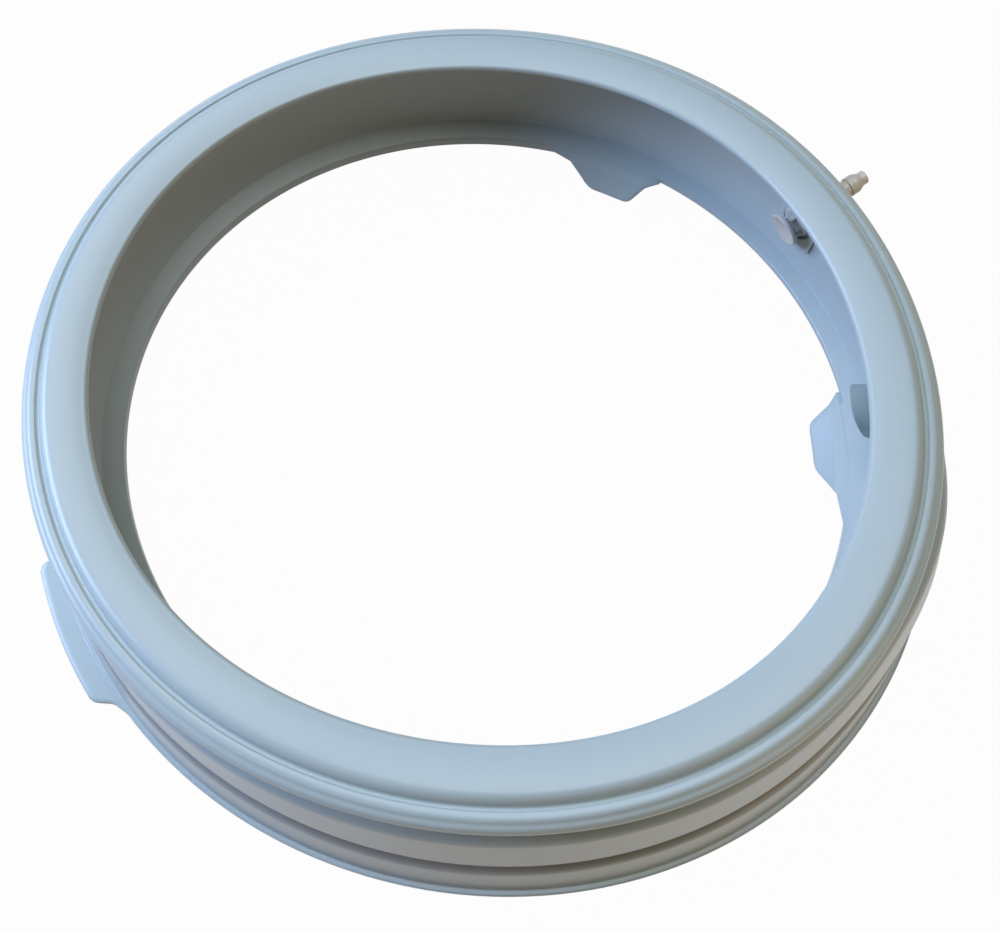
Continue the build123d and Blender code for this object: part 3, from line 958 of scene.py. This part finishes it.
class WearAndPaintedShade:
    """Shader group for cloudy colour, dust specks, a painted shade in the clamp groove and a fine grain.

    The painted shade is a dark brown band in the groove's crease; its height, its fade above and below, and
    the radii where it sets in are in metres.
    """

    NAME = "moulded_surface"
    DUST = (232, 234, 230)
    # Painted shade: the dark brown colour laid into the clamp groove's crease, and where that band lies.
    PAINTED_SHADE = (118, 84, 58)
    PAINTED_SHADE_HEIGHT = 0.0255
    PAINTED_SHADE_FADE = (0.0024, 0.0052)
    PAINTED_SHADE_RADII = (0.164, 0.167)

    @classmethod
    def group(cls) -> bpy.types.NodeTree:
        """The group, built on first use.

        Returns:
            Group with inputs for colour, roughness and strengths, and outputs Color, Roughness and Height.
        """
        if cls.NAME in bpy.data.node_groups:
            return bpy.data.node_groups[cls.NAME]
        tree = bpy.data.node_groups.new(cls.NAME, "ShaderNodeTree")
        for name, kind in (
            ("Color", "NodeSocketColor"),
            ("Roughness", "NodeSocketFloat"),
            ("Cloud", "NodeSocketFloat"),
            ("Dust", "NodeSocketFloat"),
            ("Stain", "NodeSocketFloat"),
        ):
            tree.interface.new_socket(name, in_out="INPUT", socket_type=kind)
        for name, kind in (
            ("Color", "NodeSocketColor"),
            ("Roughness", "NodeSocketFloat"),
            ("Height", "NodeSocketFloat"),
        ):
            tree.interface.new_socket(name, in_out="OUTPUT", socket_type=kind)
        node, link = tree.nodes.new, tree.links.new
        given, made = node("NodeGroupInput"), node("NodeGroupOutput")
        place = node("ShaderNodeTexCoord")
        cloud = cls.noise(tree, place, scale=14.0, detail=5.0)
        grain = cls.noise(tree, place, scale=1500.0, detail=2.0)
        speck = cls.noise(tree, place, scale=420.0, detail=1.0)
        shade = cls.spread(tree, cloud, 0.2, 0.8, -1.0, 1.0)
        amount = cls.math(tree, "MULTIPLY", shade, given.outputs["Cloud"])
        level = cls.math(tree, "ADD", amount, 1.0)
        tinted = node("ShaderNodeVectorMath")
        tinted.operation = "SCALE"
        link(given.outputs["Color"], tinted.inputs[0])
        link(level, tinted.inputs["Scale"])
        dots = cls.spread(tree, speck, 0.72, 0.80, 0.0, 1.0)
        dust = cls.math(tree, "MULTIPLY", dots, given.outputs["Dust"])
        mix = node("ShaderNodeMix")
        mix.data_type = "RGBA"
        mix.inputs["B"].default_value = srgb(*cls.DUST)
        link(dust, mix.inputs["Factor"])
        link(tinted.outputs["Vector"], mix.inputs["A"])
        # Painted shade: a dark brown band round the outside at the clamp groove's height, faded above and
        # below and mixed over the colour.
        axes = node("ShaderNodeSeparateXYZ")
        link(place.outputs["Object"], axes.inputs["Vector"])
        off = cls.math(tree, "ABSOLUTE", cls.math(tree, "SUBTRACT", axes.outputs["Z"], cls.PAINTED_SHADE_HEIGHT))
        height = cls.spread(tree, off, *cls.PAINTED_SHADE_FADE, 1.0, 0.0)
        squares = [cls.math(tree, "POWER", axes.outputs[axis], 2.0) for axis in "XY"]
        radius = cls.math(tree, "SQRT", cls.math(tree, "ADD", *squares))
        band = cls.math(tree, "MULTIPLY", height, cls.spread(tree, radius, *cls.PAINTED_SHADE_RADII, 0.0, 1.0))
        painted_shade_mix = node("ShaderNodeMix")
        painted_shade_mix.data_type = "RGBA"
        painted_shade_mix.inputs["B"].default_value = srgb(*cls.PAINTED_SHADE)
        link(cls.math(tree, "MULTIPLY", band, given.outputs["Stain"]), painted_shade_mix.inputs["Factor"])
        link(mix.outputs["Result"], painted_shade_mix.inputs["A"])
        link(painted_shade_mix.outputs["Result"], made.inputs["Color"])
        rough = cls.math(tree, "MULTIPLY_ADD", amount, 0.8, given.outputs["Roughness"])
        link(rough, made.inputs["Roughness"])
        link(grain, made.inputs["Height"])
        return tree

    @staticmethod
    def noise(
        tree: bpy.types.NodeTree, place: bpy.types.Node, scale: float, detail: float
    ) -> bpy.types.NodeSocket:
        """Noise over object coordinates, in cells of 1 / scale metres."""
        noise = tree.nodes.new("ShaderNodeTexNoise")
        noise.inputs["Scale"].default_value = scale
        noise.inputs["Detail"].default_value = detail
        tree.links.new(place.outputs["Object"], noise.inputs["Vector"])
        return noise.outputs["Fac"]

    @staticmethod
    def spread(
        tree: bpy.types.NodeTree,
        value: bpy.types.NodeSocket,
        low: float,
        high: float,
        first: float,
        last: float,
    ) -> bpy.types.NodeSocket:
        """A value's range low to high mapped to first to last and held there."""
        node = tree.nodes.new("ShaderNodeMapRange")
        for name, number in zip(("From Min", "From Max", "To Min", "To Max"), (low, high, first, last)):
            node.inputs[name].default_value = number
        tree.links.new(value, node.inputs["Value"])
        return node.outputs["Result"]

    @staticmethod
    def math(
        tree: bpy.types.NodeTree, operation: str, *values: bpy.types.NodeSocket | float
    ) -> bpy.types.NodeSocket:
        """Result of a math node whose inputs are sockets or plain numbers."""
        node = tree.nodes.new("ShaderNodeMath")
        node.operation = operation
        for socket, value in zip(node.inputs, values):
            if isinstance(value, (int, float)):
                socket.default_value = value
            else:
                tree.links.new(value, socket)
        return node.outputs["Value"]


@dataclass(frozen=True)
class Finish:
    """Finish of a moulded piece."""

    name: str
    color: tuple[float, float, float, float]
    roughness: float
    cloud: float
    dust: float
    grain_mm: float
    specular: float
    coat: float
    # Strength of the painted brown shade in the clamp groove.
    painted_shade: float

    def material(self) -> bpy.types.Material:
        """Material with this finish.

        Returns:
            A Principled material whose colour, roughness and bump come from the shared surface group.
        """
        made = bpy.data.materials.new(self.name)
        made.use_nodes = True
        tree = made.node_tree
        shader = tree.nodes["Principled BSDF"]
        marks_and_shade = tree.nodes.new("ShaderNodeGroup")
        marks_and_shade.node_tree = WearAndPaintedShade.group()
        marks_and_shade.inputs["Color"].default_value = self.color
        marks_and_shade.inputs["Roughness"].default_value = self.roughness
        marks_and_shade.inputs["Cloud"].default_value = self.cloud
        marks_and_shade.inputs["Dust"].default_value = self.dust
        marks_and_shade.inputs["Stain"].default_value = self.painted_shade
        bump = tree.nodes.new("ShaderNodeBump")
        bump.inputs["Distance"].default_value = self.grain_mm * MM
        bump.inputs["Strength"].default_value = 0.4
        tree.links.new(marks_and_shade.outputs["Color"], shader.inputs["Base Color"])
        tree.links.new(marks_and_shade.outputs["Roughness"], shader.inputs["Roughness"])
        tree.links.new(marks_and_shade.outputs["Height"], bump.inputs["Height"])
        tree.links.new(bump.outputs["Normal"], shader.inputs["Normal"])
        shader.inputs["Specular IOR Level"].default_value = self.specular
        shader.inputs["Coat Weight"].default_value = self.coat
        made.diffuse_color = self.color
        return made


RUBBER = Finish(
    name="grey_seal_rubber",
    color=srgb(173, 188, 187),
    roughness=0.32,
    cloud=0.02,
    dust=0.10,
    grain_mm=0.05,
    specular=0.55,
    coat=0.0,
    # Strength of the painted brown shade in the clamp groove's crease.
    painted_shade=0.55,
)
PLASTIC = Finish(
    name="pale_nozzle_plastic",
    color=srgb(206, 203, 192),
    roughness=0.30,
    cloud=0.02,
    dust=0.05,
    grain_mm=0.02,
    specular=0.5,
    coat=0.1,
    painted_shade=0.0,
)


@dataclass(frozen=True)
class Studio:
    """Camera, lamps, floor and world."""

    lie: Lie
    elevation: float = 64.82
    roll: float = 1.54
    yaw: float = 2.38
    pitch: float = -0.08
    distance: float = 442.12
    focal_pixels: float = 1013.34
    centre_pixels: tuple[float, float] = (436.3, 437.74)
    sensor: float = 36.0
    floor_reach: float = 4000.0
    floor_drop: float = 0.2
    floor_glow: float = 1.04
    floor_white: float = 0.94

    def camera(self) -> bpy.types.Object:
        """Camera at the photograph's viewing angle.

        It starts in front of the ring, looks at the origin from the elevation and the distance, and is then
        yawed, pitched and rolled about its own axes.

        Returns:
            The scene's camera.
        """
        rise = np.radians(self.elevation)
        ahead = np.array([0.0, np.cos(rise), -np.sin(rise)])
        right = np.array([1.0, 0.0, 0.0])
        up = np.cross(right, ahead)
        place = -ahead * self.distance * self.lie.draw
        yaw, pitch, roll = np.radians([self.yaw, self.pitch, self.roll])
        ahead, right = turned(ahead, up, yaw), turned(right, up, yaw)
        ahead, up = turned(ahead, right, pitch), turned(up, right, pitch)
        right, up = turned(right, ahead, roll), turned(up, ahead, roll)
        axis = np.array([0.0, 0.0, 1.0])
        spin = np.radians(self.lie.turn_degrees)
        columns = [turned(vector, axis, spin) for vector in (right, up, -ahead, place)]
        data = bpy.data.cameras.new("photo_camera")
        data.sensor_width = self.sensor
        data.lens = self.focal_pixels * self.sensor / IMAGE_WIDTH
        data.shift_x = (IMAGE_WIDTH / 2 - self.centre_pixels[0]) / IMAGE_WIDTH
        data.shift_y = (self.centre_pixels[1] - IMAGE_HEIGHT / 2) / IMAGE_WIDTH
        data.clip_start = 0.01
        camera = bpy.data.objects.new("photo_camera", data)
        matrix = np.eye(4)
        matrix[:3, :3] = np.stack(columns[:3], axis=1)
        matrix[:3, 3] = columns[3] * MM
        camera.matrix_world = Matrix(matrix.tolist())
        bpy.context.scene.collection.objects.link(camera)
        bpy.context.scene.camera = camera
        return camera

    def lamp(
        self,
        name: str,
        azimuth: float,
        rise: float,
        far: float,
        size: float,
        power: float,
        color: tuple[int, int, int],
    ) -> None:
        """Square soft lamp that faces the ring.

        Args:
            name: Name of the lamp.
            azimuth: Direction of the lamp from the ring, in degrees from +X.
            rise: Height of the lamp as an angle, in degrees.
            far: Distance in metres.
            size: Side of the square in metres.
            power: Power in watts.
            color: Light colour, 0 to 255.
        """
        data = bpy.data.lights.new(name, "AREA")
        data.size, data.energy, data.color = size, power, srgb(*color)[:3]
        turn, tilt = np.radians(azimuth), np.radians(rise)
        towards = np.array([np.cos(turn) * np.cos(tilt), np.sin(turn) * np.cos(tilt), np.sin(tilt)])
        side = unit(np.cross(np.array([0.0, 0.0, 1.0]), towards))
        matrix = np.eye(4)
        matrix[:3, :3] = np.stack([side, np.cross(towards, side), towards], axis=1)
        matrix[:3, 3] = towards * far
        lamp = bpy.data.objects.new(name, data)
        lamp.matrix_world = Matrix(matrix.tolist())
        bpy.context.scene.collection.objects.link(lamp)

    def seen_white(self, tree: bpy.types.NodeTree) -> bpy.types.NodeSocket:
        """1 for camera, glossy and transmitted rays, 0 for the rays that light the ring."""
        path = tree.nodes.new("ShaderNodeLightPath")
        either = WearAndPaintedShade.math(tree, "MAXIMUM", path.outputs["Is Camera Ray"], path.outputs["Is Glossy Ray"])
        return WearAndPaintedShade.math(tree, "MAXIMUM", either, path.outputs["Is Transmission Ray"])

    def floor(self) -> bpy.types.Object:
        """Pale floor that looks white to the camera and keeps a faint shadow."""
        corners = self.floor_reach * np.array([(-1, -1, 0), (1, -1, 0), (1, 1, 0), (-1, 1, 0)], dtype=float)
        corners[:, 2] = -self.floor_drop
        mesh = bpy.data.meshes.new("floor")
        mesh.from_pydata((corners * MM).tolist(), [], [(0, 1, 2, 3)])
        floor = bpy.data.objects.new("floor", mesh)
        bpy.context.scene.collection.objects.link(floor)
        made = bpy.data.materials.new("pale_floor")
        made.use_nodes = True
        tree = made.node_tree
        matt = tree.nodes["Principled BSDF"]
        matt.inputs["Base Color"].default_value = srgb(98, 66, 44)
        matt.inputs["Roughness"].default_value = 0.9
        glow = tree.nodes.new("ShaderNodeEmission")
        glow.inputs["Strength"].default_value = self.floor_glow
        mix = tree.nodes.new("ShaderNodeMixShader")
        share = WearAndPaintedShade.math(tree, "MULTIPLY", self.seen_white(tree), self.floor_white)
        tree.links.new(share, mix.inputs["Fac"])
        tree.links.new(matt.outputs["BSDF"], mix.inputs[1])
        tree.links.new(glow.outputs["Emission"], mix.inputs[2])
        tree.links.new(mix.outputs["Shader"], tree.nodes["Material Output"].inputs["Surface"])
        mesh.materials.append(made)
        return floor

    def world(self) -> None:
        """White world for the camera and a dim warm one for the light on the ring."""
        world = bpy.data.worlds.new("soft_room")
        world.use_nodes = True
        tree = world.node_tree
        back = tree.nodes["Background"]
        mix = tree.nodes.new("ShaderNodeMix")
        mix.data_type = "RGBA"
        mix.inputs["A"].default_value = (0.06, 0.043, 0.028, 1.0)
        mix.inputs["B"].default_value = (1.0, 1.0, 1.0, 1.0)
        path = tree.nodes.new("ShaderNodeLightPath")
        tree.links.new(path.outputs["Is Camera Ray"], mix.inputs["Factor"])
        tree.links.new(mix.outputs["Result"], back.inputs["Color"])
        bpy.context.scene.world = world

    def build(self) -> None:
        """Makes the stage, the lamps and the camera."""
        self.floor()
        self.world()
        self.lamp("window", 126.0, 57.0, 2.2, 1.1, 14.0, (240, 248, 255))
        self.lamp("overhead", 20.0, 80.0, 2.0, 1.2, 14.0, (244, 250, 255))
        self.lamp("low_sky", 172.0, 31.0, 1.6, 0.9, 33.0, (186, 208, 255))
        self.lamp("warm_fill", -35.0, 18.0, 1.4, 0.9, 3.2, (255, 216, 160))
        self.camera()
        bpy.context.scene.view_settings.view_transform = "Standard"


def dress(piece: bpy.types.Object, material: bpy.types.Material, slot: Slot, *nodes: str) -> None:
    """Gives a piece its finish and its place in the frame, and reports it.

    Args:
        piece: Finished piece.
        material: Its material.
        slot: The record's slot it stands for; not used.
        nodes: CAD nodes that it replaces.
    """
    piece.data.materials.clear()
    piece.data.materials.append(material)
    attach(piece, BODY)
    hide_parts(*nodes)
    LOG.info("%s: %d faces", piece.name, len(piece.data.polygons))


def main() -> None:
    """Builds the seal and its nozzle, dresses them and sets the stage."""
    logging.basicConfig(level=logging.INFO)
    section, lie = SealSection(), Lie()
    nozzle = SprayNozzle(section, lie)
    ring = SealRing(section, lie)
    dress(ring.build(nozzle), RUBBER.material(), Slot.RUBBER, "seal_ring")
    dress(nozzle.build(), PLASTIC.material(), Slot.PLASTIC, "spray_nozzle")
    Studio(lie).build()


if __name__ == "__main__":
    main()
